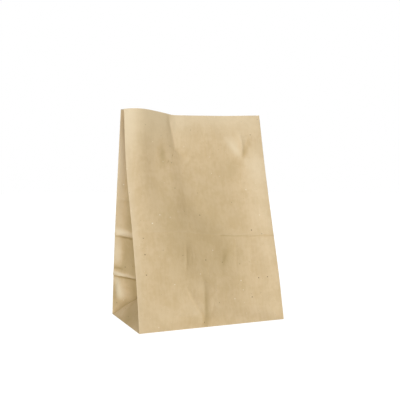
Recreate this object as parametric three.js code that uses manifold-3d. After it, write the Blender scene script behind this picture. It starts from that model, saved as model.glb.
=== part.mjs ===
// Brown paper lunch bag: a flat-bottomed bag with side gussets, folded from one sheet of kraft paper.
// It stands open on its base, with the mouth pinched nearly shut by the folded gussets.
// Millimetres. +Z is up, the front panel faces -Y and +X runs to the right along it.
// The origin is the centre of the base, on the surface that the bag stands on.
import * as THREE from "three";
import { mergeVertices } from "three/addons/utils/BufferGeometryUtils.js";
import Module from "manifold-3d";

// The sheet
const PANEL_WIDTH = 200; // front and back panels, along the base
const GUSSET_DEPTH = 118; // side panels, along the base
const PANEL_HEIGHT = 280; // from the base edge to the cut mouth, along the paper
const SHEET_THICKNESS = 0.15; // one layer of paper

// The mouth: how far behind the base's centre line each place on its rim stands
const MOUTH_FRONT_LEFT = -2;
const MOUTH_FRONT_MIDDLE = 22;
const MOUTH_FRONT_RIGHT = 14;
const MOUTH_BACK_LEFT = 12;
const MOUTH_BACK_RIGHT = 28;
const MOUTH_BACK_BULGE = 22; // how far the back rim's middle stands out past the line between its ends

// The rolled left end of the front panel
const ROLL_WIDTH = 27; // from the left edge to where the panel turns back
const ROLL_RUN = 47; // over which it turns back

// The gussets
const TUCK_DEPTH = 36; // how far the meeting point of the corner folds is pushed in
const TUCK_FADE = 66; // height over which the centre fold comes to its free depth
const VALLEY_CLEARANCE = 6; // between the centre fold and the front panel

// The glued seam down the back panel, where the sheet's two ends overlap
const SEAM_WIDTH = 22;
const SEAM_OFFSET = 30; // from the panel's centre line to the seam's, towards +X
const SEAM_STEP = 0.4; // width of the step up onto the upper layer

// The base: two flaps folded under it and glued, one over the other
const FLAP_OVERLAP = 12; // how far the front flap passes the centre line
const FLAP_SLIT = 0.6; // width of the line along its free edge
const FLAP_INSET = 1; // how far in from the base's corners the slanted folds of the flaps start

// How finely the faces are divided
const FRONT_COLUMNS = 16;
const BACK_COLUMNS = 6; // on each side of the seam
const GUSSET_COLUMNS = 4; // in each half of a gusset, and rows below its tuck
const MIDDLE_ROWS = 4; // between the two cross creases
const UPPER_ROWS = 10; // above them

// How far the upright edges have leaned over at a few heights, as shares of the whole
const LEAN_HEIGHTS = [0, 0.2, 0.45, 0.75, 1];
const FRONT_LEFT_LEAN = [0, 0.16, 0.46, 0.87, 1];
const FRONT_RIGHT_LEAN = [0, 0.18, 0.45, 0.77, 1];
const BACK_LEAN = [0, 0.15, 0.37, 0.71, 1];

const KRAFT = new THREE.MeshStandardMaterial({ color: 0xcbb38a, roughness: 0.86, metalness: 0 });

// How the inner skin is led round sharp folds
const MITRE_SOFTNESS = 1e-4; // keeps a step finite where the faces round a vertex are nearly parallel
const BLUNT_FOLD = 0.4; // the most that a fold's inner side stands off its outer side

const CUT_BELOW = 1; // how far the underside's cuts start outside the base

const HALF_WIDTH = PANEL_WIDTH / 2;
const HALF_DEPTH = GUSSET_DEPTH / 2;
const BASE_THICKNESS = 2 * SHEET_THICKNESS;
const LEFT = -1;
const RIGHT = 1;
const { clamp, lerp, smoothstep } = THREE.MathUtils;

/** The share of its whole lean that an edge has made at v along the paper. */
function leanShare(leans, v) {
  return new THREE.CubicInterpolant(LEAN_HEIGHTS, leans, 1).evaluate(v / PANEL_HEIGHT)[0];
}

/** How far behind the base's centre line the front panel's mouth edge stands at x. */
function frontMouthY(x) {
  const fromLeft = x + HALF_WIDTH;
  const pastRoll = clamp((fromLeft - ROLL_WIDTH) / (PANEL_WIDTH - ROLL_WIDTH), 0, 1);
  const flatY = lerp(MOUTH_FRONT_MIDDLE, MOUTH_FRONT_RIGHT, pastRoll);
  return lerp(MOUTH_FRONT_LEFT, flatY, smoothstep(fromLeft, ROLL_WIDTH, ROLL_WIDTH + ROLL_RUN));
}

/** The same for the back panel. */
function backMouthY(x) {
  const across = (x + HALF_WIDTH) / PANEL_WIDTH;
  const bulge = MOUTH_BACK_BULGE * 4 * across * (1 - across);
  return lerp(MOUTH_BACK_LEFT, MOUTH_BACK_RIGHT, across) + bulge;
}

/** The height of the rim at x, which the leaning front panel sets and the slacker back panel shares. */
function rimHeight(x) {
  return Math.sqrt(PANEL_HEIGHT ** 2 - (frontMouthY(x) + HALF_DEPTH) ** 2);
}

/** The front panel at x and at v along the paper above its base edge. */
function frontPoint(x, v) {
  const across = (x + HALF_WIDTH) / PANEL_WIDTH;
  const share = lerp(leanShare(FRONT_LEFT_LEAN, v), leanShare(FRONT_RIGHT_LEAN, v), across);
  const y = lerp(-HALF_DEPTH, frontMouthY(x), share);
  return new THREE.Vector3(x, y, (v / PANEL_HEIGHT) * rimHeight(x));
}

/** The back panel at x and at v. */
function backPoint(x, v) {
  const y = lerp(HALF_DEPTH, backMouthY(x), leanShare(BACK_LEAN, v));
  return new THREE.Vector3(x, y, (v / PANEL_HEIGHT) * rimHeight(x));
}

/** The tuck, where the two corner folds of a gusset meet its centre fold. */
function tuckPoint(side) {
  const height = Math.sqrt(HALF_DEPTH ** 2 - TUCK_DEPTH ** 2);
  return new THREE.Vector3(side * (HALF_WIDTH - TUCK_DEPTH), 0, height);
}

/** The centre fold of a gusset seen from above, at v above its tuck. */
function valleyPlan(side, v) {
  const front = frontPoint(side * HALF_WIDTH, v);
  const back = backPoint(side * HALF_WIDTH, v);
  const freeDepth = Math.sqrt(HALF_DEPTH ** 2 - ((back.y - front.y) / 2) ** 2);
  const x = side * (HALF_WIDTH - lerp(TUCK_DEPTH, freeDepth, smoothstep(v - HALF_DEPTH, 0, TUCK_FADE)));
  const y = Math.max((front.y + back.y) / 2, frontPoint(x, v).y + VALLEY_CLEARANCE);
  const along = (v - HALF_DEPTH) / (PANEL_HEIGHT - HALF_DEPTH);
  return new THREE.Vector2(x, lerp(0, y, smoothstep(along, 0, 1)));
}

/** The centre fold of a gusset at v, as long from tuck to mouth as the paper is. */
function valleyPoint(side, v) {
  const tuck = tuckPoint(side);
  const run = valleyPlan(side, PANEL_HEIGHT).distanceTo(new THREE.Vector2(tuck.x, tuck.y));
  const rise = Math.sqrt(1 - (run / (PANEL_HEIGHT - HALF_DEPTH)) ** 2);
  const plan = valleyPlan(side, v);
  return new THREE.Vector3(plan.x, plan.y, tuck.z + (v - HALF_DEPTH) * rise);
}

/** A gusset at v, where `out` is the distance along the paper from the edge that edgePoint gives. */
function gussetPoint(side, edgePoint, out, v) {
  const edge = edgePoint(side * HALF_WIDTH, v);
  if (v > HALF_DEPTH) return edge.lerp(valleyPoint(side, v), out / HALF_DEPTH);
  const corner = edgePoint(side * HALF_WIDTH, 0);
  const fold = corner.clone().lerp(tuckPoint(side), v / HALF_DEPTH);
  if (out <= v) return edge.lerp(fold, v === 0 ? 0 : out / v);
  const beyond = new THREE.Vector3(0, -corner.y, 0).multiplyScalar((out - v) / HALF_DEPTH);
  return fold.add(beyond);
}

/** The upright lines that divide the girth, anticlockwise from the front left corner. */
function girthStations() {
  const seamLeft = SEAM_OFFSET - SEAM_WIDTH / 2;
  const seamRight = SEAM_OFFSET + SEAM_WIDTH / 2;
  return [
    ...panelStations(frontPoint, -HALF_WIDTH, HALF_WIDTH, FRONT_COLUMNS),
    ...gussetStations(RIGHT, frontPoint, backPoint),
    ...panelStations(backPoint, HALF_WIDTH, seamRight + SEAM_STEP, BACK_COLUMNS),
    { point: (v) => backPoint(seamRight + SEAM_STEP, v) },
    { point: (v) => backPoint(seamRight, v), onSeam: true },
    { point: (v) => backPoint(seamLeft, v), onSeam: true },
    ...panelStations(backPoint, seamLeft - SEAM_STEP, -HALF_WIDTH, BACK_COLUMNS),
    ...gussetStations(LEFT, backPoint, frontPoint),
  ];
}

/** Evenly spaced lines of a panel from one x up to, but not on, another. */
function panelStations(panelPoint, fromX, toX, columns) {
  return Array.from({ length: columns }, (_, i) => {
    const x = lerp(fromX, toX, i / columns);
    return { point: (v) => panelPoint(x, v) };
  });
}

/** A gusset's lines: the near edge, the half up to the centre fold, that fold and the far half. */
function gussetStations(side, nearPoint, farPoint) {
  return Array.from({ length: 2 * GUSSET_COLUMNS }, (_, i) => {
    const pastFold = i >= GUSSET_COLUMNS;
    const fromNear = (HALF_DEPTH * i) / GUSSET_COLUMNS;
    const out = pastFold ? GUSSET_DEPTH - fromNear : fromNear;
    const edgePoint = pastFold ? farPoint : nearPoint;
    const onValley = i === GUSSET_COLUMNS;
    return { point: (v) => gussetPoint(side, edgePoint, out, v), pastFold, onValley };
  });
}

/** The rows' distances v along the paper, from the base edge to the mouth. */
function rowDistances() {
  const evenly = (from, to, count) => Array.from({ length: count }, (_, i) => lerp(from, to, i / count));
  return [
    ...evenly(0, HALF_DEPTH, GUSSET_COLUMNS),
    ...evenly(HALF_DEPTH, GUSSET_DEPTH, MIDDLE_ROWS),
    ...evenly(GUSSET_DEPTH, PANEL_HEIGHT, UPPER_ROWS),
    PANEL_HEIGHT,
  ];
}

/** The walls' triangles, each cell split along the way that its gusset's corner fold runs. */
function wallTriangles(stations, rows) {
  const count = stations.length;
  const triangles = [];
  for (let row = 0; row + 1 < rows.length; row++) {
    stations.forEach(({ pastFold }, i) => {
      const a = row * count + i;
      const b = row * count + ((i + 1) % count);
      const c = b + count;
      const d = a + count;
      if (pastFold) triangles.push([a, b, d], [b, c, d]);
      else triangles.push([a, b, c], [a, c, d]);
    });
  }
  return triangles;
}

/** The base's triangles, a fan round the vertex called centre. */
function baseTriangles(count, centre) {
  return Array.from({ length: count }, (_, i) => [centre, (i + 1) % count, i]);
}

/** The step that takes each vertex of the outer skin inwards by the thickness of every face it is on. */
function inwardSteps(points, walls, base) {
  const sums = points.map(() => ({
    planes: new THREE.Matrix3().multiplyScalar(MITRE_SOFTNESS),
    pull: new THREE.Vector3(),
  }));
  const normal = new THREE.Vector3();
  const addFaces = (faces, thickness) => {
    for (const [a, b, c] of faces) {
      THREE.Triangle.getNormal(points[a], points[b], points[c], normal);
      for (const index of [a, b, c]) addPlane(sums[index], normal, thickness);
    }
  };
  addFaces(walls, SHEET_THICKNESS);
  addFaces(base, BASE_THICKNESS);
  return sums.map(({ planes, pull }) => pull.applyMatrix3(planes.invert()));
}

/** Adds one face's plane to the sums of a vertex: a step s should satisfy normal . s = -thickness. */
function addPlane({ planes, pull }, normal, thickness) {
  const { x, y, z } = normal;
  const square = [x * x, x * y, x * z, y * x, y * y, y * z, z * x, z * y, z * z];
  square.forEach((value, k) => (planes.elements[k] += value));
  pull.addScaledVector(normal, -thickness);
}

/** The bag's walls and base as one closed mesh: an outer skin, an inner skin and the rim between them. */
function shellGeometry() {
  const stations = girthStations();
  const rows = rowDistances();
  const count = stations.length;
  const outer = rows.flatMap((v) => stations.map((station) => station.point(v)));
  const centre = outer.length;
  outer.push(new THREE.Vector3());
  const walls = wallTriangles(stations, rows);
  const base = baseTriangles(count, centre);
  const steps = inwardSteps(outer, walls, base);
  const inner = outer.map((point, index) => {
    const { onValley } = stations[index % count];
    if (onValley) steps[index].clampLength(0, BLUNT_FOLD);
    return point.clone().add(steps[index]);
  });
  [...inner.slice(0, count), inner[centre]].forEach((point) => point.setZ(BASE_THICKNESS));
  outer.forEach((point, index) => {
    if (index !== centre && stations[index % count].onSeam) point.sub(steps[index].setZ(0));
  });

  const innerStart = outer.length;
  const outside = [...walls, ...base];
  const inside = outside.map(([a, b, c]) => [a + innerStart, c + innerStart, b + innerStart]);
  const rimStart = centre - count;
  const rim = stations.flatMap((_, i) => {
    const a = rimStart + i;
    const b = rimStart + ((i + 1) % count);
    return [[a, b, b + innerStart], [a, b + innerStart, a + innerStart]];
  });
  const geometry = new THREE.BufferGeometry().setFromPoints([...outer, ...inner]);
  return geometry.setIndex([...outside, ...inside, ...rim].flat());
}

/** A prism that cuts one layer deep into the underside, over an outline given from above. */
function undersideCut(outline) {
  const shape = new THREE.Shape(outline.map(([x, y]) => new THREE.Vector2(x, y)));
  const depth = CUT_BELOW + SHEET_THICKNESS;
  return new THREE.ExtrudeGeometry(shape, { depth, bevelEnabled: false }).translate(0, 0, -CUT_BELOW);
}

/** The folded base seen from below: the tucks at its two ends and the free edge of the front flap. */
function undersideCuts() {
  const apex = HALF_WIDTH - HALF_DEPTH + FLAP_INSET;
  const edge = HALF_WIDTH + CUT_BELOW;
  const reach = edge - apex;
  const freeEnd = apex - FLAP_OVERLAP;
  const inTuck = apex + FLAP_SLIT;
  const flapEdge = [
    [-inTuck, -FLAP_SLIT],
    [-freeEnd, FLAP_OVERLAP],
    [freeEnd, FLAP_OVERLAP],
    [inTuck, -FLAP_SLIT],
  ];
  const slitFarSide = flapEdge.map(([x, y]) => [x, y + FLAP_SLIT]).reverse();
  return [
    undersideCut([[-edge, -reach], [-apex, 0], [-edge, reach]]),
    undersideCut([[edge, -reach], [edge, reach], [apex, 0]]),
    undersideCut([...flapEdge, ...slitFarSide]),
  ];
}

const wasm = await Module();
wasm.setup();

/** A closed geometry as a solid that can be cut. */
function solidOf(geometry) {
  geometry.deleteAttribute("normal");
  geometry.deleteAttribute("uv");
  const merged = mergeVertices(geometry);
  const vertProperties = merged.attributes.position.array;
  const triVerts = new Uint32Array(merged.index.array);
  return new wasm.Manifold(new wasm.Mesh({ numProp: 3, vertProperties, triVerts }));
}

/** A solid as a geometry that can be drawn. */
function geometryOf(solid) {
  const { vertProperties, triVerts } = solid.getMesh();
  const geometry = new THREE.BufferGeometry();
  geometry.setAttribute("position", new THREE.BufferAttribute(vertProperties, 3));
  geometry.setIndex(new THREE.BufferAttribute(triVerts, 1));
  geometry.computeVertexNormals();
  return geometry;
}

/** The whole bag, one folded and glued sheet. */
function paperBag() {
  const shell = solidOf(shellGeometry());
  const folded = undersideCuts().reduce((solid, cut) => solid.subtract(solidOf(cut)), shell);
  const mesh = new THREE.Mesh(geometryOf(folded), KRAFT);
  mesh.name = "paper_bag";
  return mesh;
}

const bag = new THREE.Group();
bag.add(paperBag());

export default bag;
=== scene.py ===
"""A brown paper lunch bag that stands open on its folded base, for Blender 4.5."""

import sys
import logging
import math
from abc import ABC, abstractmethod
from collections.abc import Callable
from dataclasses import dataclass
from enum import Enum

import bpy
import numpy as np
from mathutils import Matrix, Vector


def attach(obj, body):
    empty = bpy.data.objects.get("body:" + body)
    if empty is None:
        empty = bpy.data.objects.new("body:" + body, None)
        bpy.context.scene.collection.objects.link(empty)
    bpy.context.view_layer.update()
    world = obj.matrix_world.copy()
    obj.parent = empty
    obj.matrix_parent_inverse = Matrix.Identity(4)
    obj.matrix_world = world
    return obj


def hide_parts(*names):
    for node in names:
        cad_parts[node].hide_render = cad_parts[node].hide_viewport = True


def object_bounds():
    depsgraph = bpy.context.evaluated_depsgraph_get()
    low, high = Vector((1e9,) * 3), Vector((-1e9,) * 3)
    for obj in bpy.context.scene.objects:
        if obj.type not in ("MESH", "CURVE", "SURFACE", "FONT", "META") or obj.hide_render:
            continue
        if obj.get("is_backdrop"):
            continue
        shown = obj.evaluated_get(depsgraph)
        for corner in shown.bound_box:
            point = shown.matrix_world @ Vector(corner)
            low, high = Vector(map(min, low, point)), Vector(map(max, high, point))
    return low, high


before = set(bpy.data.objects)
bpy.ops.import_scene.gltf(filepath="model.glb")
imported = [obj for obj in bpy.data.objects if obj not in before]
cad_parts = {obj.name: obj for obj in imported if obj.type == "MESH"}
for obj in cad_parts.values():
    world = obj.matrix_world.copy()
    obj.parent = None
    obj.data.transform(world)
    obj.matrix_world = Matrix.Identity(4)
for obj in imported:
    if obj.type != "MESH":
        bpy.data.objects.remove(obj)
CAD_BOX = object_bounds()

LOG = logging.getLogger("lunch_bag")
MM = 0.001
BODY = "root"
NODE = "paper_bag"
WHITE = (1.0, 1.0, 1.0, 1.0)
Colour = Place = tuple[float, float, float]
Knots = tuple[float, ...]
Array = np.ndarray
Object, Tree = bpy.types.Object, bpy.types.NodeTree
# Millimetres: the paper's height, the fine steps beside a pressed fold, and how far to each
# side a slope is read on the bare walls and on the finished ones.
PAPER_HEIGHT = 280.0
BESIDE_FOLD = np.array([0.0, 0.3, 0.7])
BARE_REACH, FINISHED_REACH = 1.5, 0.3
# The steps to each side that round a fold, and their weights.
ROUNDING = ((-1, 0.25), (0, 0.5), (1, 0.25))


class Side(Enum):
    """The two ends of the bag, by the sign of their X."""

    LEFT = -1
    RIGHT = 1


class Wall(Enum):
    """The four walls, by the way that each faces on the plan."""

    FRONT = (0, -1)
    RIGHT = (1, 0)
    BACK = (0, 1)
    LEFT = (-1, 0)


class Rim(Enum):
    """The edges of a sheet that can show as cut edges."""

    BOTTOM = "bottom"
    TOP = "top"
    FIRST = "first"
    LAST = "last"


class Face(Enum):
    """The faces of a sheet of paper, by the place of their finish in its list."""

    OUTSIDE = 0
    INSIDE = 1
    CUT = 2


def ease(value: Array, low: float, high: float) -> Array:
    """A smooth step from 0 where the value is at low to 1 where it is at high."""
    share = np.clip((np.asarray(value, float) - low) / (high - low), 0.0, 1.0)
    return share * share * (3.0 - 2.0 * share)


def blend(low: Array, high: Array, share: Array) -> Array:
    """The point that lies that share of the way from low to high."""
    return low + (high - low) * share


def trace(gap: Array, width: float) -> Array:
    """A soft line's strength at a gap from it: 1 on it, and nearly gone at twice its width."""
    return np.exp(-((gap / width) ** 2))


def unit(vectors: Array) -> Array:
    """The vectors at a length of 1."""
    return vectors / np.maximum(np.linalg.norm(vectors, axis=-1, keepdims=True), 1e-12)


def curve_through(knots: Knots, values: Knots, at: Array) -> Array:
    """A smooth curve through given values.

    Args:
        knots: Where the values are met, in rising order.
        values: The curve's value at each knot.
        at: Where the curve is read. Past its ends it goes on straight.

    Returns:
        The curve's values.
    """
    k, y = np.asarray(knots), np.asarray(values)
    slopes = np.gradient(y, k)
    i = np.clip(np.searchsorted(k, at, side="right") - 1, 0, len(k) - 2)
    span = k[i + 1] - k[i]
    t = (at - k[i]) / span
    inside = np.clip(t, 0.0, 1.0)
    t2, t3 = inside**2, inside**3
    value = blend(y[i], y[i + 1], 3 * t2 - 2 * t3)
    value += span * ((t3 - 2 * t2 + inside) * slopes[i] + (t3 - t2) * slopes[i + 1])
    before = np.where(t < 0, t * span * slopes[i], 0.0)
    return value + np.where(t > 1, (t - 1) * span * slopes[i + 1], before)


@dataclass(frozen=True)
class BagShape:
    """The bag's sizes in millimetres, and the surface that they give."""

    width: float = 200.0
    depth: float = 118.0
    height: float = PAPER_HEIGHT
    sheet: float = 0.15
    mouth_front_at: Knots = (-100, -92, -84, -76, -68, -60, -50, -40, -32, -26, -9, 25, 60, 100)
    mouth_front: Knots = (-1, -3, -3, -1.4, 2, 6.4, 11.8, 16.8, 20.8, 22.4, 22, 19.2, 16.8, 14)
    mouth_back_left: float = 12.0
    mouth_back_right: float = 28.0
    mouth_back_bulge: float = 22.0
    tuck: float = 36.0
    tuck_fade: float = 66.0
    valley_clearance: float = 6.0
    fold_radius: float = 0.55
    lean_heights: Knots = (0.0, 0.2, 0.45, 0.75, 1.0)
    front_left_lean: Knots = (0.0, 0.16, 0.46, 0.87, 1.0)
    front_right_lean: Knots = (0.0, 0.18, 0.45, 0.77, 1.0)
    back_lean: Knots = (0.0, 0.15, 0.37, 0.71, 1.0)

    def _lean(self, leans: Knots, v: Array) -> Array:
        """The share of its whole lean that an edge has made at v along the paper."""
        return curve_through(self.lean_heights, leans, v / self.height)

    def front_mouth(self, x: Array) -> Array:
        """Where the front panel's mouth edge stands, as a Y, at each X."""
        return curve_through(self.mouth_front_at, self.mouth_front, x)

    def back_mouth(self, x: Array) -> Array:
        """Where the back panel's mouth edge stands, as a Y, at each X."""
        across = x / self.width + 0.5
        bulge = self.mouth_back_bulge * 4.0 * across * (1.0 - across)
        return blend(self.mouth_back_left, self.mouth_back_right, across) + bulge

    def rim_height(self, x: Array) -> Array:
        """The height of the mouth's edge at each X, which both panels share."""
        return np.sqrt(self.height**2 - (self.front_mouth(x) + self.depth / 2) ** 2)

    def front(self, x: Array, v: Array) -> Array:
        """The front panel's surface.

        Args:
            x: The place across the panel.
            v: The distance up the paper from the base edge.

        Returns:
            Points, with their coordinates last.
        """
        across = x / self.width + 0.5
        left, right = self._lean(self.front_left_lean, v), self._lean(self.front_right_lean, v)
        y = blend(-self.depth / 2, self.front_mouth(x), blend(left, right, across))
        return np.stack(np.broadcast_arrays(x, y, v / self.height * self.rim_height(x)), axis=-1)

    def back(self, x: Array, v: Array) -> Array:
        """The back panel's surface, read as the front panel's is."""
        y = blend(self.depth / 2, self.back_mouth(x), self._lean(self.back_lean, v))
        return np.stack(np.broadcast_arrays(x, y, v / self.height * self.rim_height(x)), axis=-1)

    def tuck_point(self, side: Side) -> Array:
        """Where the two corner folds of a gusset meet its centre fold."""
        rise = math.sqrt((self.depth / 2) ** 2 - self.tuck**2)
        return np.array([side.value * (self.width / 2 - self.tuck), 0.0, rise])

    def _valley_plan(self, side: Side, v: Array) -> tuple[Array, Array]:
        """The X and Y of a gusset's centre fold, read as valley is."""
        half = self.depth / 2
        edge_x = np.full_like(v, side.value * self.width / 2)
        front_y, back_y = self.front(edge_x, v)[..., 1], self.back(edge_x, v)[..., 1]
        free = np.sqrt(half**2 - ((back_y - front_y) / 2) ** 2)
        inward = blend(self.tuck, free, ease(v - half, 0.0, self.tuck_fade))
        x = side.value * (self.width / 2 - inward)
        y = np.maximum((front_y + back_y) / 2, self.front(x, v)[..., 1] + self.valley_clearance)
        return x, y * ease((v - half) / (self.height - half), 0.0, 1.0)

    def valley(self, side: Side, v: Array) -> Array:
        """A gusset's centre fold.

        Args:
            side: The end of the bag that the gusset closes.
            v: The distance up the paper, from half the gusset's depth upwards.

        Returns:
            Points, with their coordinates last.
        """
        half = self.depth / 2
        tuck = self.tuck_point(side)
        top_x, top_y = self._valley_plan(side, np.array(self.height))
        run = math.hypot(float(top_x) - tuck[0], float(top_y) - tuck[1])
        rise = math.sqrt(1.0 - (run / (self.height - half)) ** 2)
        x, y = self._valley_plan(side, np.maximum(v, half))
        return np.stack([x, y, tuck[2] + (v - half) * rise], axis=-1)

    def gusset(self, side: Side, at_front: bool, out: Array, v: Array) -> Array:
        """Half of a gusset's surface.

        Args:
            side: The end of the bag that it closes.
            at_front: Whether it is the half that hangs on the front panel.
            out: The distance along the paper from the panel's edge to the centre fold.
            v: The distance up the paper from the base edge.

        Returns:
            Points, with their coordinates last.
        """
        half = self.depth / 2
        panel = self.front if at_front else self.back
        edge = panel(np.full_like(v, side.value * self.width / 2), v)
        corner = np.array([side.value * self.width / 2, -half if at_front else half, 0.0])
        fold = blend(corner, self.tuck_point(side), (v / half)[..., None])
        above = blend(edge, self.valley(side, v), (out / half)[..., None])
        inside = blend(edge, fold, (out / np.maximum(v, 1e-6))[..., None])
        beyond = fold.copy()
        beyond[..., 1] -= corner[1] * (out - v) / half
        low = np.where((out <= v)[..., None], inside, beyond)
        return np.where((v > half)[..., None], above, low)

    def wall(self, g: Array, v: Array) -> Array:
        """The walls' surface with sharp folds.

        Args:
            g: The distance round the girth, anticlockwise from the front left corner.
            v: The distance up the paper. Below 0 the sheet turns in under the base.

        Returns:
            Points, with their coordinates last.
        """
        w, d = self.width, self.depth
        stretches = (
            (0.0, w, lambda a, up: self.front(a - w / 2, up)),
            (w, d / 2, lambda a, up: self.gusset(Side.RIGHT, True, a, up)),
            (w + d / 2, d / 2, lambda a, up: self.gusset(Side.RIGHT, False, d / 2 - a, up)),
            (w + d, w, lambda a, up: self.back(w / 2 - a, up)),
            (2 * w + d, d / 2, lambda a, up: self.gusset(Side.LEFT, False, a, up)),
            (2 * w + 1.5 * d, d / 2, lambda a, up: self.gusset(Side.LEFT, True, d / 2 - a, up)),
        )
        g, v = np.broadcast_arrays(np.mod(g, 2.0 * (w + d)), np.asarray(v, float))
        points = np.empty((*g.shape, 3))
        for start, length, place in stretches:
            here = (g >= start) & (g < start + length)
            if here.any():
                points[here] = place(g[here] - start, np.maximum(v[here], 0.0))
        under = np.minimum(v, 0.0)
        points[..., 0] *= 1.0 + under / (w / 2)
        points[..., 1] *= 1.0 + under / (d / 2)
        return points

    def rounded_wall(self, g: Array, v: Array) -> Array:
        """The walls' surface with its folds rounded to the radius that paper takes."""
        total, radius = 0.0, self.fold_radius
        for i, across in ROUNDING:
            for j, along in ROUNDING:
                total = total + across * along * self.wall(g + i * radius, v + j * radius)
        return total


Surface = Callable[[Array, Array], Array]


def normals_of(surface: Surface, g: Array, v: Array, reach: float) -> Array:
    """The outward unit normals of a surface.

    Args:
        surface: The function that gives its points.
        g: The distance round the girth.
        v: The distance up the paper.
        reach: How far to each side the slope is read.

    Returns:
        Unit vectors, with their coordinates last.
    """
    around = surface(g + reach, v) - surface(g - reach, v)
    upward = surface(g, v + reach) - surface(g, v - reach)
    return unit(np.cross(around, upward))


class Mark(ABC):
    """Something that lifts or sinks a wall's paper."""

    @abstractmethod
    def lift_at(self, x: Array, v: Array, length: float) -> Array:
        """How far it lifts the paper, in millimetres. The folds round the wall hold it down.

        Args:
            x: The place across the wall.
            v: The place up the wall.
            length: The wall's whole length across.

        Returns:
            The lift.
        """


@dataclass(frozen=True)
class Patch:
    """A soft oval patch on a wall, in millimetres, and the amount that it has in its middle."""

    across: float
    up: float
    half_width: float
    half_height: float
    amount: float
    turn: float = 0.0

    def amount_at(self, x: Array, v: Array) -> Array:
        """The amount at x across the wall and v up it."""
        c, s = math.cos(math.radians(self.turn)), math.sin(math.radians(self.turn))
        dx, dv = x - self.across, v - self.up
        a, b = (c * dx + s * dv) / self.half_width, (c * dv - s * dx) / self.half_height
        return self.amount * np.exp(-0.5 * (a * a + b * b))


class PaintedLightPatch(Patch):
    """A patch of painted light, or of painted shade where its amount is negative."""


class Swell(Patch, Mark):
    """A rise of that many millimetres, or a hollow where its amount is negative."""

    def lift_at(self, x: Array, v: Array, length: float) -> Array:
        """The patch's amount, held down over a length that goes with its size."""
        hold = min(max(1.5 * min(self.half_width, self.half_height), 8.0), length / 4)
        held = ease(x, 0.0, hold) * ease(length - x, 0.0, hold) * ease(v, 0.0, 0.6 * hold)
        return self.amount_at(x, v) * held


@dataclass(frozen=True)
class Crease(Mark):
    """A line that the paper rises or sinks to, in millimetres, between its two flanks."""

    path: tuple[tuple[float, float], ...]
    lift: float
    left: float
    right: float
    soft: float = 1.0
    fade: float = 12.0
    wear: float = 0.0
    # Painted shade along the line, which becomes a painted highlight where it is negative.
    painted_crease_shade: float = 0.0
    hold: float = 3.0
    trace_width: float = 0.9
    trace_fade: float = 3.0

    def _nearest(self, x: Array, v: Array) -> tuple[Array, ...]:
        """How a place lies to the line.

        Args:
            x: The place across the wall.
            v: The place up the wall.

        Returns:
            The gap to the line, the side of it from -1 on the left to 1 on the right, which
            changes smoothly past its ends, the distance along it and the distance past its ends.
        """
        gaps = np.full(np.shape(x), 1e9)
        sides, along, past = np.zeros_like(gaps), np.zeros_like(gaps), np.zeros_like(gaps)
        start, last = 0.0, len(self.path) - 2
        for i, ((x0, v0), (x1, v1)) in enumerate(zip(self.path, self.path[1:])):
            length = math.hypot(x1 - x0, v1 - v0)
            ux, uv = (x1 - x0) / length, (v1 - v0) / length
            run = (x - x0) * ux + (v - v0) * uv
            held = np.clip(run, 0.0, length)
            gap = np.hypot(x - x0 - held * ux, v - v0 - held * uv)
            side = (x - x0) * uv - (v - v0) * ux
            beyond = ((run < 0) & (i == 0)) | ((run > length) & (i == last))
            side = np.where(beyond, side / np.maximum(gap, 1e-6), np.sign(side))
            closer = gap < gaps
            gaps, sides = np.where(closer, gap, gaps), np.where(closer, side, sides)
            along = np.where(closer, start + held, along)
            past = np.where(closer, np.abs(run - held), past)
            start += length
        return gaps, sides, along, past

    def lift_at(self, x: Array, v: Array, length: float) -> Array:
        """The lift on the line, which falls away down its two flanks and past its ends."""
        gap, side, along, past = self._nearest(x, v)
        whole = sum(math.dist(a, b) for a, b in zip(self.path, self.path[1:]))
        reach = blend(self.left, self.right, 0.5 + 0.5 * side)
        bent = np.sqrt(gap**2 + self.soft**2) - self.soft
        start, fade = -self.fade / 2, self.fade
        ends = ease(along, start, fade) * ease(whole - along, start, fade)
        held = ease(x, 0.0, self.hold) * ease(length - x, 0.0, self.hold) * ease(v, -1.0, 6.0)
        return self.lift * np.exp(-bent / reach) * ends * trace(past, fade) * held

    def trace_at(self, x: Array, v: Array) -> Array:
        """The narrow trace that the line leaves, from 0 beside it to 1 on it."""
        gap, _, _, past = self._nearest(x, v)
        return trace(gap, self.trace_width) * trace(past, self.trace_fade)


@dataclass(frozen=True)
class Handling(Mark):
    """The small dents that hands leave all over a wall, in millimetres, as a seed sets them."""

    seed: int
    count: int = 90
    size: float = 7.0
    lift: float = 0.2
    stretch: float = 1.0

    def lift_at(self, x: Array, v: Array, length: float) -> Array:
        """The lift of all the dents together."""
        chance = np.random.default_rng(self.seed)
        total = np.zeros(np.shape(x))
        for _ in range(self.count):
            at, up = chance.uniform(0.0, length), chance.uniform(0.0, PAPER_HEIGHT)
            wide = self.size * chance.uniform(0.5, 1.3)
            tall = self.size * self.stretch * chance.uniform(0.8, 2.2)
            lift = self.lift * chance.uniform(-1.0, 1.0)
            dent = Swell(at, up, wide, tall, lift, chance.uniform(-35.0, 35.0))
            total += dent.lift_at(x, v, length)
        return total


def rub(gap: Array, strength: float, width: float) -> Array:
    """How rubbed the paper is at a gap from an edge that is rubbed so strongly and widely."""
    return strength * trace(gap, width)


# How strongly the edges are rubbed, from 0 to 1, and how far it spreads, in millimetres.
FOLD_RUB, BASE_RUB, MOUTH_RUB = (0.9, 1.1), (0.6, 0.8), (0.5, 0.6)
SEAM_RUB, FLAP_RUB, TURN_RUB = (0.9, 0.7), (0.7, 0.8), (0.5, 1.5)


def link(obj: Object) -> Object:
    """Puts a new object in the scene."""
    bpy.context.scene.collection.objects.link(obj)
    return obj


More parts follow.
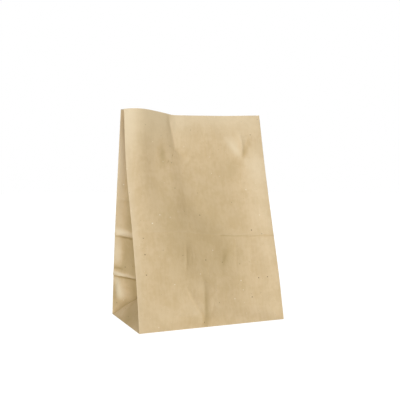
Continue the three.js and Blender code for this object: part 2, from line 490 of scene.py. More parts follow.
@dataclass
class SheetMesh:
    """A piece of the sheet as a mesh with two skins and its cut edges, in millimetres."""

    name: str
    outer: Array
    normals: Array
    sheet: float
    cut: tuple[Rim, ...]
    turn_at: int = sys.maxsize

    def _faces(self) -> tuple[Array, Array]:
        """The quads of both skins and of the cut edges, and the kind of each.

        A quad is split between its first and third corners, so those past turn_at are listed
        from their second, which lays the split along the folds that fall to the right.
        """
        rows, columns = self.outer.shape[:2]
        grid = np.arange(rows * columns).reshape(rows, columns)
        skin = np.stack([grid[:-1, :-1], grid[:-1, 1:], grid[1:, 1:], grid[1:, :-1]], axis=-1)
        skin[:, self.turn_at :] = np.roll(skin[:, self.turn_at :], -1, axis=-1)
        skin = skin.reshape(-1, 4)
        parts = [(Face.OUTSIDE, skin), (Face.INSIDE, skin[:, [0, 3, 2, 1]] + rows * columns)]
        edges = {Rim.BOTTOM: grid[0, ::-1], Rim.TOP: grid[-1]}
        edges |= {Rim.FIRST: grid[:, 0], Rim.LAST: grid[::-1, -1]}
        for rim in self.cut:
            a, b = edges[rim][:-1], edges[rim][1:]
            ring = np.stack([a, b, b + rows * columns, a + rows * columns], axis=-1)
            parts.append((Face.CUT, ring))
        kinds = np.concatenate([np.full(len(faces), kind.value) for kind, faces in parts])
        return np.concatenate([faces for _, faces in parts]), kinds

    def build(self, flat: Array, wear: Array, tone_and_painted_light: Array) -> Object:
        """Makes the piece.

        Args:
            flat: The points' places on the flat sheet, in millimetres, which textures follow.
            wear: How rubbed the paper is at the points.
            tone_and_painted_light: How much lighter than its finish it is at the points; on the
                walls this is painted light and painted shade.

        Returns:
            The new object, in metres.
        """
        inner = self.outer - self.normals * self.sheet
        points = np.concatenate([self.outer.reshape(-1, 3), inner.reshape(-1, 3)]) * MM
        faces, kinds = self._faces()
        mesh = bpy.data.meshes.new(self.name)
        mesh.from_pydata(points, [], faces)
        mesh.polygons.foreach_set("material_index", kinds.astype(np.int32))
        mesh.polygons.foreach_set("use_smooth", kinds != Face.CUT.value)
        for label, values in (("wear", wear), ("tone_and_painted_light", tone_and_painted_light)):
            layer = mesh.attributes.new(label, "FLOAT", "POINT")
            layer.data.foreach_set("value", np.tile(values.ravel(), 2).astype(np.float32))
        spots = np.tile(flat.reshape(-1, 2), (2, 1)) * MM
        corners = mesh.uv_layers.new(name="flat_sheet").data
        corners.foreach_set("uv", spots[faces.ravel()].ravel().astype(np.float32))
        normals = self.normals.reshape(-1, 3)
        way = np.concatenate([normals, -normals])[faces]
        at_cut = kinds == Face.CUT.value
        a, b, c = (points[faces[at_cut, i]] for i in range(3))
        way[at_cut] = unit(np.cross(b - a, c - a))[:, None]
        mesh.normals_split_custom_set(way.reshape(-1, 3))
        mesh.update()
        return link(bpy.data.objects.new(self.name, mesh))


@dataclass
class WallSheet:
    """One wall of the bag: a stretch of the girth with its own swells and creases."""

    name: str
    shape: BagShape
    start: float
    length: float
    marks: tuple[Mark, ...] = ()
    # The wall's patches of painted light and painted shade.
    painted_light_patches: tuple[PaintedLightPatch, ...] = ()
    centre_fold: bool = False
    lip: float = 1.0
    step: float = 1.6
    fine_step: float = 1.475

    def height_rows(self) -> Array:
        """The rows' distances up the paper, closer together beside the pressed folds."""
        half = self.shape.depth / 2
        steps = round(half / self.fine_step)
        between = np.linspace(0, half, steps + 1)[1:-1]
        low = np.concatenate([BESIDE_FOLD, between, half - BESIDE_FOLD[:0:-1]])
        count = round((self.shape.height - 2 * half) / self.step)
        above = np.linspace(2 * half, self.shape.height, count + 1)[1:]
        lip = [-self.lip, -0.5, -0.2]
        return np.concatenate([lip, low, half + low, 2 * half + BESIDE_FOLD, above])

    def girth_columns(self) -> Array:
        """The columns' distances from the wall's first edge, as fine on a gusset as its rows."""
        count = 2 * round(self.length / 2 / (self.fine_step if self.centre_fold else self.step))
        inner = np.linspace(0, self.length, count + 1)[1:-1]
        return np.concatenate([BESIDE_FOLD, inner, self.length - BESIDE_FOLD[::-1]])

    def relief(self, g: Array, v: Array) -> Array:
        """How far the marks lift the paper at g round the girth and v up it."""
        lifts = (mark.lift_at(g - self.start, v, self.length) for mark in self.marks)
        return sum(lifts, 0.0 * g)

    def _traces(self, g: Array, v: Array, kind: str) -> Array:
        """The wear, or the painted shade, that the creases' lines leave."""
        creases = (mark for mark in self.marks if isinstance(mark, Crease) and getattr(mark, kind))
        lines = (getattr(mark, kind) * mark.trace_at(g - self.start, v) for mark in creases)
        return sum(lines, 0.0 * g)

    def wear(self, g: Array, v: Array) -> Array:
        """How rubbed the paper is, from 0 to 1, at its folds, creases and mouth."""
        along = g - self.start
        folds = rub(along, *FOLD_RUB) + rub(self.length - along, *FOLD_RUB)
        ends = rub(v, *BASE_RUB) + rub(self.shape.height - v, *MOUTH_RUB)
        return np.clip(folds + ends + self._traces(g, v, "wear"), 0.0, 1.0)

    def tone_and_painted_light(self, g: Array, v: Array) -> Array:
        """How much lighter than its finish the paper is, as a share: its patches of painted light
        and shade, less the painted shade along its creases.
        """
        patches = (patch.amount_at(g - self.start, v) for patch in self.painted_light_patches)
        return sum(patches, 0.0 * g) - self._traces(g, v, "painted_crease_shade")

    def surface(self, g: Array, v: Array) -> Array:
        """The wall's finished outer skin at g round the girth and v up the paper."""
        outward = normals_of(self.shape.wall, g, v, BARE_REACH)
        return self.shape.rounded_wall(g, v) + outward * self.relief(g, v)[..., None]

    def build(self) -> Object:
        """Makes the wall's piece."""
        along, v = np.meshgrid(self.girth_columns(), self.height_rows())
        g = along + self.start
        outer, normals = self.surface(g, v), normals_of(self.surface, g, v, FINISHED_REACH)
        columns = along.shape[1]
        turn_at = columns // 2 if self.centre_fold else columns
        cut = (Rim.BOTTOM, Rim.TOP)
        sheet = SheetMesh(self.name, outer, normals, self.shape.sheet, cut, turn_at)
        return sheet.build(np.stack([g, v], axis=-1), self.wear(g, v), self.tone_and_painted_light(g, v))


@dataclass
class SeamStrip:
    """The glued overlap up the back panel, whose one cut edge stands free."""

    name: str
    wall: WallSheet
    first: float
    last: float
    taper: float = 2.5
    rise: float = 0.33
    sunk: float = 0.02
    tone_and_painted_light: float = -0.015

    def surface(self, g: Array, v: Array) -> Array:
        """The strip's outer skin, which starts just under the panel's and rises clear of it."""
        outward = normals_of(self.wall.shape.wall, g, v, BARE_REACH)
        clear = self.rise * ease(g, self.first, self.first + self.taper) - self.sunk
        return self.wall.surface(g, v) + outward * clear[..., None]

    def build(self) -> Object:
        """Makes the strip's piece."""
        flat_part = np.linspace(self.taper, self.last - self.first, 12)[1:]
        columns = np.concatenate([np.linspace(0, self.taper, 6), flat_part])
        rows = self.wall.height_rows()
        along, v = np.meshgrid(columns, rows[rows >= BESIDE_FOLD[-1]])
        g, shape = along + self.first, self.wall.shape
        outer, normals = self.surface(g, v), normals_of(self.surface, g, v, FINISHED_REACH)
        cut = (Rim.BOTTOM, Rim.TOP, Rim.LAST)
        wear = np.clip(rub(self.last - g, *SEAM_RUB) + rub(shape.height - v, *MOUTH_RUB), 0, 1)
        sheet = SheetMesh(self.name, outer, normals, shape.sheet, cut)
        return sheet.build(np.stack([g, v], axis=-1), wear, np.full(g.shape, self.tone_and_painted_light))


@dataclass
class BaseFlap:
    """A flap of the folded base, which carries one wall's paper on under the bag."""

    name: str
    shape: BagShape
    wall: Wall
    reach: float
    level: float
    lap: float = 0.0
    widen: float = 1.0
    dome: float = 0.7
    tone_and_painted_light: float = -0.02

    def _plan(self) -> tuple[Array, ...]:
        """The points' X, Y, places along the wall and distances in from it."""
        out_x, out_y = self.wall.value
        width, depth = self.shape.width, self.shape.depth
        length, far = (width, depth / 2) if out_x == 0 else (depth, width / 2)
        inward = np.linspace(self.reach, 1.0, round(self.reach / 2.0))
        share, w = np.meshgrid(np.linspace(-1.0, 1.0, round(length / 2.5)), inward)
        along = share * (length / 2 - np.maximum(w - self.widen, 0.0) - 0.01 * w)
        x = out_x * (far - w) - out_y * along
        y = out_y * (far - w) + out_x * along
        return x, y, along + length / 2, w

    def build(self, start: float) -> Object:
        """Makes the flap's piece.

        Args:
            start: Where its wall starts round the girth.

        Returns:
            The new object.
        """
        x, y, along, w = self._plan()
        half_x, half_y = self.shape.width / 2, self.shape.depth / 2
        bow = np.clip(1 - (x / half_x) ** 2, 0, 1) * np.clip(1 - (y / half_y) ** 2, 0, 1)
        lapped = ease(w, self.reach - 18.0, self.reach - 13.0)
        over = self.level * ease(w, 1.0, 7.0) + self.lap * lapped
        outer = np.stack([x, y, self.dome * bow + over * self.shape.sheet], axis=-1)
        normals = np.broadcast_to(np.array([0.0, 0.0, -1.0]), outer.shape)
        cut = (Rim.BOTTOM, Rim.FIRST, Rim.LAST)
        sheet = SheetMesh(self.name, outer, normals, self.shape.sheet, cut)
        wear = rub(self.reach - w, *FLAP_RUB) + rub(w - 1.0, *TURN_RUB)
        flat = np.stack([start + along, -w], axis=-1)
        return sheet.build(flat, wear, np.full(w.shape, self.tone_and_painted_light))


MOUTH_FOLD = ((64.5, 280), (71, 245), (72.5, 232), (83.5, 223), (92, 216))
FRONT_MARKS: tuple[Mark, ...] = (
    Swell(145, 74, 25, 85, -6.5, 8),
    Swell(59, 72, 20, 85, 6.8, 12),
    Swell(58, 240, 26, 60, 2.5, 30),
    Swell(187, 89, 12, 90, -2.5),
    Swell(130, 119, 9, 42, -0.8, 5),
    Swell(60, 48, 13, 22, -2.2, 35),
    Swell(17, 215, 10, 80, 3),
    Swell(26, 198, 12, 38, -2.6),
    Swell(75, 262, 26, 45, 3.5, 40),
    Swell(85, 117, 13, 16, 2.6, 30),
    Swell(162, 180, 20, 65, -5.2, 6),
    Swell(104, 144, 20, 10, -2.8, -32),
    Swell(155, 242, 16, 25, 1.9, -55),
    Swell(67, 174, 14, 42, 5.8),
    Crease(MOUTH_FOLD, -2.5, 9, 11, 0.5, hold=1),
    Crease(((168, 252), (169.5, 221)), 4, 10, 3.6, 0.8, painted_crease_shade=-0.03),
    Crease(((90.5, 58), (87.4, 34), (84.4, 2)), 2.5, 13, 7, 0.5, hold=1),
    Crease(((65, 52), (73.5, 33), (84, 12)), 1.5, 7, 3.5, 0.5, painted_crease_shade=0.04),
    Crease(((104, 36), (97, 18), (89, 6)), 0.8, 4, 6, 0.5),
    Crease(((70, 106), (65, 72)), 1.5, 6, 3.5, 0.6),
    Crease(((77, 98), (74.5, 80)), 0.8, 3, 2.5, 0.4),
    Crease(((82, 95), (80, 82)), 0.6, 3, 2.5, 0.4),
    Crease(((133, 96), (124, 78)), -0.9, 5, 4, 0.8),
    Crease(((146.6, 112), (141, 66)), 0.8, 6, 4, 0.6),
    Crease(((104, 82), (98, 62)), 0.5, 5, 4),
    Crease(((168, 109), (162, 66)), 0.7, 6, 4, 1),
    Crease(((112, 62), (106, 40)), -0.5, 5, 5),
    Crease(((0, 124), (94, 119.5), (200, 113.5)), 0.5, 3.5, 1.2, 0.4, wear=0.35, hold=1),
    # A line of painted shadow under the crease across the front.
    Crease(((126, 116.8), (200, 112.2)), 0, 1, 1, painted_crease_shade=0.15),
    Crease(((178, 250), (171, 222)), -0.8, 3, 6, 0.8),
    Crease(((118, 262), (121, 236)), 0.4, 5, 4),
    Crease(((150, 180), (154, 150)), -0.4, 6, 5),
    Crease(((98, 200), (104, 168)), 0.4, 5, 4),
    Handling(11, size=8, lift=0.3),
    Handling(21, count=70, size=3.4, lift=0.16, stretch=2.6),
)
# Painted light and shade on the front panel: a darker middle, a lit left roll and mouth, and
# painted highlights and shadows round its creases.
FRONT_PAINTED_LIGHT: tuple[PaintedLightPatch, ...] = (
    PaintedLightPatch(104, 112, 34, 50, -0.14),
    PaintedLightPatch(50, 130, 12, 45, -0.09),
    PaintedLightPatch(40, 258, 26, 26, 0.11),
    PaintedLightPatch(150, 268, 22, 12, 0.05),
    PaintedLightPatch(134, 94, 9, 14, -0.07),
    PaintedLightPatch(40, 16, 30, 12, 0.06),
    PaintedLightPatch(106, 32, 7, 16, 0.07),
    PaintedLightPatch(180, 22, 14, 14, 0.04),
    PaintedLightPatch(50, 223, 3.5, 9, -0.22),
    PaintedLightPatch(80, 264, 9, 14, 0.05),
    PaintedLightPatch(160, 233, 3.4, 13, 0.17, 38),
    PaintedLightPatch(176, 234, 2.4, 10, -0.13, -24),
    PaintedLightPatch(171.5, 226, 1.7, 5, -0.12, -12),
    PaintedLightPatch(186, 206, 11, 15, 0.1),
    PaintedLightPatch(155, 212, 10, 9, -0.09),
    PaintedLightPatch(129, 90, 3.5, 6, -0.09, -28),
    PaintedLightPatch(124, 80, 3.5, 6, -0.09, -28),
    PaintedLightPatch(70, 95, 4, 14, -0.07, -10),
    PaintedLightPatch(90.5, 34, 2.8, 22, -0.12, -5),
    PaintedLightPatch(74, 22, 6, 14, 0.06, 30),
    PaintedLightPatch(2, 140, 4, 110, 0.1),
    PaintedLightPatch(110, 284, 110, 15, 0.15),
    PaintedLightPatch(5, 262, 8, 28, 0.13),
    PaintedLightPatch(192, 170, 14, 75, 0.09),
    PaintedLightPatch(88, 12, 3.5, 14, -0.1),
    PaintedLightPatch(160, 238, 9, 14, 0.08, -30),
)
LEFT_MARKS: tuple[Mark, ...] = (
    Crease(((0, 57), (17, 60), (36, 62), (59, 60)), 4, 8, 1.2, 0.4, wear=1, hold=0.6),
    Crease(((0, 113), (23, 114.2), (59, 115)), 3.6, 8, 1.2, 0.4, wear=1, hold=0.6),
    # Lines of painted shadow under the two creases' ridges.
    Crease(((1, 54.8), (17, 57.6), (36, 59.6)), 0, 1, 1, painted_crease_shade=0.18),
    Crease(((1, 111), (23, 112), (45, 113)), 0, 1, 1, painted_crease_shade=0.15),
    Crease(((59, 60), (118, 58)), 0.8, 4, 2, 0.6, wear=0.5, hold=1.5),
    Crease(((59, 115), (118, 117)), 0.8, 4, 2, 0.6, wear=0.5, hold=1.5),
    Crease(((2, 162), (45, 163)), 0.8, 5, 2, wear=0.5),
    Crease(((2, 152), (45, 151)), -0.25, 5, 3),
    # Painted shade in a hollow and along the diagonal corner fold.
    Crease(((1, 66), (15, 68)), -1.4, 1.5, 2.5, fade=4, painted_crease_shade=0.1, hold=0.6),
    Crease(((1, 1), (40, 39)), -2.4, 2, 1.2, 0.4, painted_crease_shade=0.25, hold=0.6),
    Swell(13, 38, 7, 12, 4.5, -10),
    Swell(33, 40, 9, 9, -2.5),
    Swell(26, 90, 12, 14, -1.6),
    Swell(10, 178, 7, 60, -2.2),
    Swell(34, 178, 10, 55, 2),
    Swell(11, 90, 6, 12, -2.2),
    Swell(30, 90, 9, 12, 1.6),
    Handling(12, 60),
)
# Painted light and shade on the left gusset: painted shade that deepens towards its centre fold,
# and painted highlights on its creases and pillow.
LEFT_PAINTED_LIGHT: tuple[PaintedLightPatch, ...] = (
    PaintedLightPatch(58, 10, 30, 14, -0.08),
    PaintedLightPatch(34, 165, 13, 75, -0.36),
    PaintedLightPatch(54, 165, 13, 75, -0.2),
    PaintedLightPatch(4, 150, 6, 70, 0.1),
    PaintedLightPatch(3, 222, 5, 38, 0.2),
    PaintedLightPatch(20, 118.5, 22, 3, 0.34, 2),
    PaintedLightPatch(14, 61.5, 18, 1.6, 0.34, 5),
    PaintedLightPatch(4, 67.5, 6, 2.4, -0.26, 3),
    PaintedLightPatch(4, 88, 4, 14, 0.2),
    PaintedLightPatch(16, 88, 3, 13, -0.08),
    PaintedLightPatch(7, 47, 4, 7, 0.36, 25),
    PaintedLightPatch(13, 34, 5, 7, 0.34, 20),
    PaintedLightPatch(22, 40, 4, 14, 0.08, 20),
    PaintedLightPatch(2, 34, 3, 16, -0.2),
    PaintedLightPatch(20, 24, 12, 3.5, -0.14, 45),
    PaintedLightPatch(32, 9, 13, 6, 0.16),
    PaintedLightPatch(58, 6, 14, 10, -0.12),
    PaintedLightPatch(34, 46, 8, 8, -0.12),
    PaintedLightPatch(12, 70, 8, 5, -0.08),
)
RIGHT_MARKS: tuple[Mark, ...] = (
    Crease(((0, 116), (30, 114), (59, 115)), 1, 5, 2, 0.6, wear=0.6, hold=1.5),
    Crease(((59, 115), (92, 116), (118, 118)), 1.1, 5, 2, 0.6, wear=0.6, hold=1.5),
    Crease(((0, 59), (28, 61), (59, 60)), 0.9, 5, 2, 0.6, wear=0.6, hold=1.5),
    Crease(((59, 60), (95, 61), (118, 59)), 1.1, 5, 2, 0.6, wear=0.6, hold=1.5),
    Crease(((14, 205), (48, 196)), -0.3, 6, 4),
    Swell(32, 92, 12, 15, -1.7),
    Swell(84, 88, 13, 14, -1.4),
    Swell(88, 34, 8, 12, 1.6, 12),
    Swell(86, 185, 12, 45, 1.4),
    Swell(30, 172, 11, 38, 1.2),
    Handling(13, 60),
)
BACK_MARKS: tuple[Mark, ...] = (
    Swell(52, 92, 22, 70, -4.5, -6),
    Swell(140, 78, 24, 72, 4, 8),
    Swell(34, 205, 17, 48, 3.2, -8),
    Swell(98, 168, 20, 40, -3, 20),
    Swell(160, 196, 18, 46, -3.4, 5),
    Swell(104, 236, 24, 22, 2, -40),
    Crease(((0, 117), (96, 119), (200, 116.5)), 0.3, 3, 1.2, 0.5, wear=0.35, hold=1),
    Crease(((122, 2), (128, 30), (136, 58)), -1, 10, 3, 1.6, hold=1),
    Crease(((40, 268), (56, 236), (60, 208)), 0.7, 9, 4, 1.6),
    Crease(((176, 240), (168, 214)), -0.8, 7, 4, 1.6),
    Handling(14),
)


Socket = bpy.types.NodeSocket
Outputs = bpy.types.NodeOutputs


class NodeBench:
    """A node tree that is filled in one node at a time."""

    def __init__(self, tree: Tree) -> None:
        """Keeps the tree that it fills in."""
        self.tree = tree

    def add(self, kind: str, sockets: dict | None = None, **settings: object) -> Outputs:
        """Adds a node.

        Args:
            kind: The node's type, without its ShaderNode prefix.
            sockets: What each input takes: a value, or an output of another node.
            settings: The node's own properties.

        Returns:
            The new node's outputs.
        """
        node = self.tree.nodes.new("ShaderNode" + kind)
        for label, value in settings.items():
            setattr(node, label, value)
        for label, value in (sockets or {}).items():
            if isinstance(value, Socket):
                self.join(value, node.inputs[label])
            else:
                node.inputs[label].default_value = value
        return node.outputs

    def join(self, output: Socket, socket: Socket) -> None:
        """Links an output to an input."""
        self.tree.links.new(output, socket)

    def place(self, effect: Tree, sockets: dict[str, object]) -> Outputs:
        """Places a shared effect, with what its inputs take."""
        return self.add("Group", sockets, node_tree=effect)

    def maths(self, operation: str, first: object, second: object, clamp: bool = False) -> Socket:
        """The result of a Math node on two numbers or outputs."""
        both = {0: first, 1: second}
        return self.add("Math", both, operation=operation, use_clamp=clamp)[0]

    def times(self, first: object, second: object, clamp: bool = False) -> Socket:
        """The product of two numbers or outputs."""
        return self.maths("MULTIPLY", first, second, clamp)

    def noise(self, where: Socket, scale: object, detail: float, **more: float) -> Outputs:
        """A noise at a place, with more of its inputs by their names."""
        sockets = {"Vector": where, "Scale": scale, "Detail": detail}
        return self.add("TexNoise", sockets | {name.title(): value for name, value in more.items()})

    def ramp(self, value: Socket, low: float, high: float, *ends: float) -> Socket:
        """A value's smooth run between two ends, 0 and 1 if none are given, from low to high."""
        start, end = ends or (0.0, 1.0)
        sockets = {"Value": value, "From Min": low, "From Max": high}
        sockets |= {"To Min": start, "To Max": end}
        return self.add("MapRange", sockets, interpolation_type="SMOOTHSTEP")["Result"]

    def tint(self, colour: Socket | Colour, other: Socket | Colour, share: object) -> Socket:
        """A colour mixed with another by a share."""
        both = [(*one, 1.0) if isinstance(one, tuple) else one for one in (colour, other)]
        return self.add("Mix", {0: share, 6: both[0], 7: both[1]}, data_type="RGBA")[2]


class PaperEffects:
    """The shader node groups that every finish of the paper shares."""

    WANDER_SCALE = 900.0
    WANDER_REACH = 0.0005
    PATCH_SCALE = 260.0

    def __init__(self) -> None:
        """Makes the four groups."""
        self.pulp_clouds = self._pulp_clouds()
        self.fibre_grain = self._fibre_grain()
        self.bark_flecks = self._bark_flecks()
        self.rubbed_folds = self._rubbed_folds()

    @staticmethod
    def _group(name: str, numbers: tuple[str, ...], results: tuple[str, ...]) -> tuple:
        """Makes an empty group, whose first input is the place on the sheet.

        Args:
            name: The group's name.
            numbers: The names of its further inputs.
            results: The names of its outputs.

        Returns:
            Its bench, what it is given and what it gives back.
        """
        tree = bpy.data.node_groups.new(name, "ShaderNodeTree")
        tree.interface.new_socket(name="Vector", in_out="INPUT", socket_type="NodeSocketVector")
        for way, labels in (("INPUT", numbers), ("OUTPUT", results)):
            for label in labels:
                tree.interface.new_socket(name=label, in_out=way, socket_type="NodeSocketFloat")
        given, back = tree.nodes.new("NodeGroupInput"), tree.nodes.new("NodeGroupOutput")
        return NodeBench(tree), given.outputs, back.inputs

    def _pulp_clouds(self) -> Tree:
        """The cloudy look of the pulp, from a broad and a fine noise."""
        bench, (where, scale, *_), back = self._group("pulp_clouds", ("Scale",), ("Cloud",))
        broad = bench.noise(where, scale, 2.0, roughness=0.5)[0]
        fine = bench.noise(where, bench.times(scale, 4.0), 2.0, roughness=0.6)[0]
        both = bench.maths("ADD", bench.times(broad, 0.72), bench.times(fine, 0.28))
        bench.join(bench.ramp(both, 0.38, 0.62), back["Cloud"])
        return bench.tree

    def _fibre_grain(self) -> Tree:
        """The fibres, which lie up the sheet as it left the machine."""
        bench, given, back = self._group("fibre_grain", ("Scale", "Stretch"), ("Grain", "Ribs"))
        where, scale, stretch, *_ = given
        flat = bench.add("SeparateXYZ", {0: where})
        long = bench.maths("DIVIDE", flat["Y"], stretch)
        drawn = bench.add("CombineXYZ", {"X": flat["X"], "Y": long})[0]
        fibre = bench.noise(drawn, scale, 3.0, distortion=0.6)[0]
        wide = bench.noise(drawn, bench.times(scale, 0.22), 2.0)[0]
        bench.join(bench.ramp(fibre, 0.3, 0.7), back["Grain"])
        bench.join(bench.ramp(wide, 0.35, 0.65), back["Ribs"])
        return bench.tree

    def _bark_flecks(self) -> Tree:
        """Scattered specks of bark and bleached fibre, one at most in each cell."""
        inputs = ("Scale", "Share", "Size")
        bench, given, back = self._group("bark_flecks", inputs, ("Fleck", "Choice"))
        where, scale, share, size, *_ = given
        wander = bench.noise(where, self.WANDER_SCALE, 1.0)[1]
        reach = {0: wander, "Scale": self.WANDER_REACH}
        shift = bench.add("VectorMath", reach, operation="SCALE")[0]
        moved = bench.add("VectorMath", {0: where, 1: shift}, operation="ADD")[0]
        cell = bench.add("TexVoronoi", {"Vector": moved, "Scale": scale}, voronoi_dimensions="2D")
        pick = bench.add("SeparateColor", {0: cell["Color"]})
        here = bench.maths("LESS_THAN", pick[0], share)
        radius = bench.times(size, bench.ramp(pick[1], 0.0, 1.0, 0.5, 1.1))
        near = bench.maths("SUBTRACT", 1.0, bench.maths("DIVIDE", cell["Distance"], radius))
        bench.join(bench.times(bench.ramp(near, 0.0, 0.5), here), back["Fleck"])
        bench.join(pick[2], back["Choice"])
        return bench.tree

    def _rubbed_folds(self) -> Tree:
        """Where folds, creases and edges are rubbed pale, in broken patches."""
        bench, given, back = self._group("rubbed_folds", ("Wear", "Amount"), ("Rubbed",))
        where, wear, amount, *_ = given
        patchy = bench.noise(where, self.PATCH_SCALE, 3.0)[0]
        broken = bench.times(wear, bench.ramp(patchy, 0.35, 0.65, 0.45, 1.0))
        bench.join(bench.times(broken, amount, clamp=True), back["Rubbed"])
        return bench.tree


@dataclass(frozen=True)
class Scatter:
    """Specks strewn over the paper, at most one in each cell."""

    cells_a_metre: float
    share: float
    size: float
    cover: float


NO_FLECKS = Scatter(82.0, 0.0, 0.075, 0.85)


@dataclass(frozen=True)
class KraftFinish:
    """One face of the uncoated brown kraft paper. Its scales are in cells a metre."""

    name: str
    colour: Colour
    shade: Colour
    roughness: float = 0.78
    rubbed: float = 0.6
    # The first of these two colours is for the ribs, rubbed paper and painted light, the second for
    # painted shade.
    pale: Colour = (0.76, 0.63, 0.43)
    painted_shade_colour: Colour = (0.42, 0.305, 0.135)
    bark: Colour = (0.13, 0.075, 0.035)
    bleached: Colour = (0.88, 0.80, 0.64)
    clouds: float = 0.52
    cloud_scale: float = 48.0
    grain: float = 0.14
    ribs: float = 0.11
    fibre_scale: float = 1500.0
    fibre_stretch: float = 5.0
    flecks: Scatter = Scatter(82.0, 0.17, 0.075, 0.85)
    specks: Scatter = Scatter(260.0, 0.14, 0.10, 0.42)
    bark_share: float = 0.55
    # How strongly the tone paints shade and light.
    painted_shade_strength: float = 2.6
    painted_light_strength: float = 3.2
    roughness_swing: float = 0.06
    rubbed_roughness: float = 0.08
    sheen: float = 0.35
    relief: float = 0.00005
    relief_strength: float = 0.8
    fibre_rise: float = 0.5
    cloud_rise: float = 1.2
    fleck_rise: float = 0.8

    def material(self, effects: PaperEffects) -> bpy.types.Material:
        """Makes the finish's material.

        Args:
            effects: The node groups that the paper's finishes share.

        Returns:
            The new material.
        """
        made = bpy.data.materials.new(self.name)
        made.use_nodes = True
        bench = NodeBench(made.node_tree)
        shader = made.node_tree.nodes["Principled BSDF"].inputs
        at = {"Vector": bench.add("UVMap", uv_map="flat_sheet")["UV"]}
        wear = bench.add("Attribute", attribute_name="wear")["Fac"]
        # The points' painted light and shade, as how much lighter than the finish they are.
        tone_and_painted_light = bench.add("Attribute", attribute_name="tone_and_painted_light")["Fac"]
        clouds = bench.place(effects.pulp_clouds, at | {"Scale": self.cloud_scale})["Cloud"]
        lie = {"Scale": self.fibre_scale, "Stretch": self.fibre_stretch}
        fibres = bench.place(effects.fibre_grain, at | lie)
        strewn = []
        for some in (self.flecks, self.specks):
            spread = {"Scale": some.cells_a_metre, "Share": some.share, "Size": some.size}
            seen = bench.place(effects.bark_flecks, at | spread)
            choice = bench.maths("GREATER_THAN", seen["Choice"], self.bark_share)
            colour = bench.tint(self.bark, self.bleached, choice)
            strewn.append((colour, bench.times(seen["Fleck"], some.cover)))
        folds = {"Wear": wear, "Amount": self.rubbed}
        rubbed = bench.place(effects.rubbed_folds, at | folds)["Rubbed"]
        base = self.colour
        for colour, share in (
            (self.shade, bench.times(clouds, self.clouds)),
            (self.shade, bench.times(fibres["Grain"], self.grain)),
            (self.pale, bench.times(fibres["Ribs"], self.ribs)),
            *strewn,
            (self.pale, rubbed),
            # Painted shade and painted light from the tone.
            (self.painted_shade_colour, bench.times(tone_and_painted_light, -self.painted_shade_strength, clamp=True)),
            (self.pale, bench.times(tone_and_painted_light, self.painted_light_strength, clamp=True)),
        ):
            base = bench.tint(base, colour, share)
        bench.join(base, shader["Base Color"])
        low, high = self.roughness - self.roughness_swing, self.roughness + self.roughness_swing
        worn = bench.times(rubbed, self.rubbed_roughness)
        rough = bench.maths("ADD", bench.ramp(clouds, 0.0, 1.0, low, high), worn)
        bench.join(rough, shader["Roughness"])
        fibre_rise = bench.times(fibres["Grain"], self.fibre_rise)
        height = bench.maths("ADD", fibre_rise, bench.times(clouds, self.cloud_rise))
        fleck_rise = bench.times(strewn[0][1], self.fleck_rise / self.flecks.cover)
        height = bench.maths("ADD", height, fleck_rise)
        bumps = {"Height": height, "Strength": self.relief_strength, "Distance": self.relief}
        bench.join(bench.add("Bump", bumps)["Normal"], shader["Normal"])
        shader["Specular IOR Level"].default_value = self.sheen
        return made


FINISHES = (
    KraftFinish("kraft_outside", (0.645, 0.487, 0.284), (0.555, 0.404, 0.213)),
    KraftFinish("kraft_inside", (0.6, 0.45, 0.25), (0.5, 0.36, 0.19), 0.85, 0.3, grain=0.4),
    KraftFinish("kraft_cut_edge", (0.7, 0.56, 0.36), (0.6, 0.45, 0.26), 0.9, 0.4, flecks=NO_FLECKS),
)


@dataclass
class PaperBag:
    """The whole bag: its walls, its seam and its folded base."""

    shape: BagShape = BagShape()
    seam_from: float = 59.0
    seam_to: float = 81.0

    def walls(self) -> dict[Wall, WallSheet]:
        """The four walls, in order round the girth."""
        s = self.shape
        back, left = s.width + s.depth, 2 * s.width + s.depth
        return {
            Wall.FRONT: WallSheet("front_panel", s, 0.0, s.width, FRONT_MARKS, FRONT_PAINTED_LIGHT),
            Wall.RIGHT: WallSheet("right_gusset", s, s.width, s.depth, RIGHT_MARKS, (), True),
            Wall.BACK: WallSheet("back_panel", s, back, s.width, BACK_MARKS),
            Wall.LEFT: WallSheet("left_gusset", s, left, s.depth, LEFT_MARKS, LEFT_PAINTED_LIGHT, True),
        }

    def flaps(self) -> list[BaseFlap]:
        """The four flaps of the base, from the outermost in."""
        return [
            BaseFlap("front_flap", self.shape, Wall.FRONT, 71.0, 0.0),
            BaseFlap("back_flap", self.shape, Wall.BACK, 62.0, 0.0, lap=1.2),
            BaseFlap("left_tuck", self.shape, Wall.LEFT, 58.0, 2.4, widen=4.0),
            BaseFlap("right_tuck", self.shape, Wall.RIGHT, 58.0, 2.4, widen=4.0),
        ]

    def build(self) -> list[Object]:
        """Makes every piece of the bag and gives each its finishes."""
        walls = self.walls()
        back = walls[Wall.BACK]
        ends = back.start + self.seam_from, back.start + self.seam_to
        pieces = [wall.build() for wall in walls.values()]
        pieces.append(SeamStrip("back_seam", back, *ends).build())
        pieces.extend(flap.build(walls[flap.wall].start) for flap in self.flaps())
        effects = PaperEffects()
        materials = [finish.material(effects) for finish in FINISHES]
        for piece in pieces:
            for material in materials:
                piece.data.materials.append(material)
            LOG.info("%s: %d faces", piece.name, len(piece.data.polygons))
        return pieces


def heading(turn: float, fall: float) -> Vector:
    """The unit direction of a line of sight or light, which turns right and falls, in radians."""
    level = math.cos(fall)
    return Vector((math.sin(turn) * level, math.cos(turn) * level, -math.sin(fall)))


def aim(obj: Object, way: Vector) -> None:
    """Points a camera or a light a given way."""
    obj.rotation_euler = way.to_track_quat("-Z", "Y").to_euler()


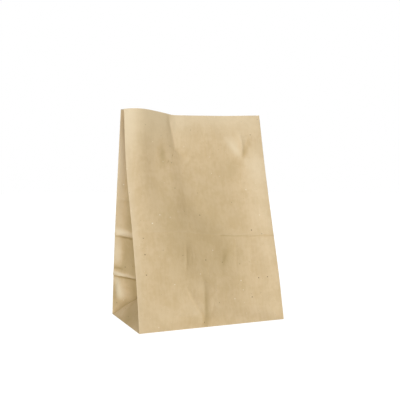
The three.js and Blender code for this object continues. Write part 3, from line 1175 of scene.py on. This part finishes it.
@dataclass(frozen=True)
class DistantLight:
    """A soft light far off, with its turn left of the front, rise and width in degrees."""

    name: str
    turn: float
    rise: float
    width: float
    strength: float

    def add(self, colour: Colour) -> None:
        """Puts it in the scene. Its strength is how bright a white surface that faces it is."""
        data = bpy.data.lights.new(self.name, "SUN")
        data.energy, data.angle = self.strength * math.pi, math.radians(self.width)
        data.color = colour
        light = link(bpy.data.objects.new(self.name, data))
        aim(light, heading(math.radians(self.turn), math.radians(self.rise)))


@dataclass
class Studio:
    """The pale floor, the lit room, its lights and the camera."""

    camera_at: Place = (-0.3617, -0.8666, 0.2177)
    yaw: float = 0.40008
    pitch: float = 0.06533
    lens: float = 63.956
    film_width: float = 36.0
    key: DistantLight = DistantLight("key", 27.0, 30.0, 50.0, 0.725)
    back_fill: DistantLight = DistantLight("back_fill", 215.0, 30.0, 70.0, 0.58)
    light_colour: Colour = (0.95, 1.0, 1.14)
    room_strength: float = 0.15
    room_colour: Colour = (1.12, 1.0, 0.56)
    floor_radius: float = 3.0
    floor_sides: int = 96
    floor_colour: tuple[float, ...] = (0.4, 0.4, 0.4, 1.0)
    floor_roughness: float = 0.9
    floor_glow: float = 0.8
    floor_bounce: float = 0.35
    softbox_at: Place = (-0.12, -0.38, 0.75)
    softbox_aim: Place = (0.0, 0.0, 0.2)
    softbox_size: float = 0.4
    softbox_power: float = 0.6

    def camera(self) -> None:
        """Puts the camera where the photograph was taken from."""
        data = bpy.data.cameras.new("camera")
        data.lens, data.sensor_width = self.lens, self.film_width
        camera = link(bpy.data.objects.new("camera", data))
        camera.location = self.camera_at
        aim(camera, heading(self.yaw, self.pitch))
        bpy.context.scene.camera = camera

    def floor(self) -> None:
        """Lays a wide pale floor, which looks brighter than the light that it throws back."""
        mesh = bpy.data.meshes.new("floor")
        turns = np.linspace(0, 2 * math.pi, self.floor_sides + 1)[:-1]
        far = self.floor_radius
        ring = [(far * math.cos(turn), far * math.sin(turn), 0.0) for turn in turns]
        mesh.from_pydata(ring, [], [tuple(range(self.floor_sides))])
        paint = bpy.data.materials.new("pale_floor")
        paint.use_nodes = True
        shader = paint.node_tree.nodes["Principled BSDF"].inputs
        shader["Base Color"].default_value = self.floor_colour
        shader["Roughness"].default_value = self.floor_roughness
        shader["Specular IOR Level"].default_value = 0.0
        bench = NodeBench(paint.node_tree)
        seen = bench.add("LightPath")["Is Camera Ray"]
        glow = bench.ramp(seen, 0.0, 1.0, self.floor_bounce, self.floor_glow)
        bench.join(glow, shader["Emission Strength"])
        bench.join(bench.tint(self.room_colour, WHITE[:3], seen), shader["Emission Color"])
        mesh.materials.append(paint)
        link(bpy.data.objects.new("floor", mesh))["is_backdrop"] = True

    def room(self) -> None:
        """Makes a room that looks white and lights the bag dimly."""
        world = bpy.data.worlds.new("room")
        world.use_nodes = True
        bpy.context.scene.world = world
        bench, nodes = NodeBench(world.node_tree), world.node_tree.nodes
        lit = nodes["Background"]
        lit.inputs["Color"].default_value = (*self.room_colour, 1.0)
        lit.inputs["Strength"].default_value = self.room_strength
        shown = bench.add("Background", {"Color": WHITE})[0]
        seen = bench.add("LightPath")["Is Camera Ray"]
        mix = bench.add("MixShader", {0: seen, 1: lit.outputs[0], 2: shown})
        bench.join(mix[0], nodes["World Output"].inputs["Surface"])

    def lights(self) -> None:
        """Sets the key light, the fill light behind the bag and the softbox over it."""
        self.key.add(self.light_colour)
        self.back_fill.add(self.light_colour)
        data = bpy.data.lights.new("softbox", "AREA")
        data.energy, data.size = self.softbox_power, self.softbox_size
        data.color = self.light_colour
        light = link(bpy.data.objects.new("softbox", data))
        light.location = self.softbox_at
        aim(light, Vector(self.softbox_aim) - light.location)
        light.visible_camera = False


def write_sizes() -> None:
    """Reads the CAD box and the visual model's box side by side."""
    boxes = {"cad": CAD_BOX, "visual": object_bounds()}
    {name: [list(corner) for corner in box] for name, box in boxes.items()}


def main() -> None:
    """Builds the bag and its studio."""
    logging.basicConfig(level=logging.INFO, format="%(name)s: %(message)s")
    bpy.context.scene.view_settings.view_transform = "Standard"
    studio = Studio()
    studio.camera()
    studio.floor()
    studio.room()
    studio.lights()
    for piece in PaperBag().build():
        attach(piece, BODY)
        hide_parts(NODE)
    write_sizes()


if __name__ == "__main__":
    main()
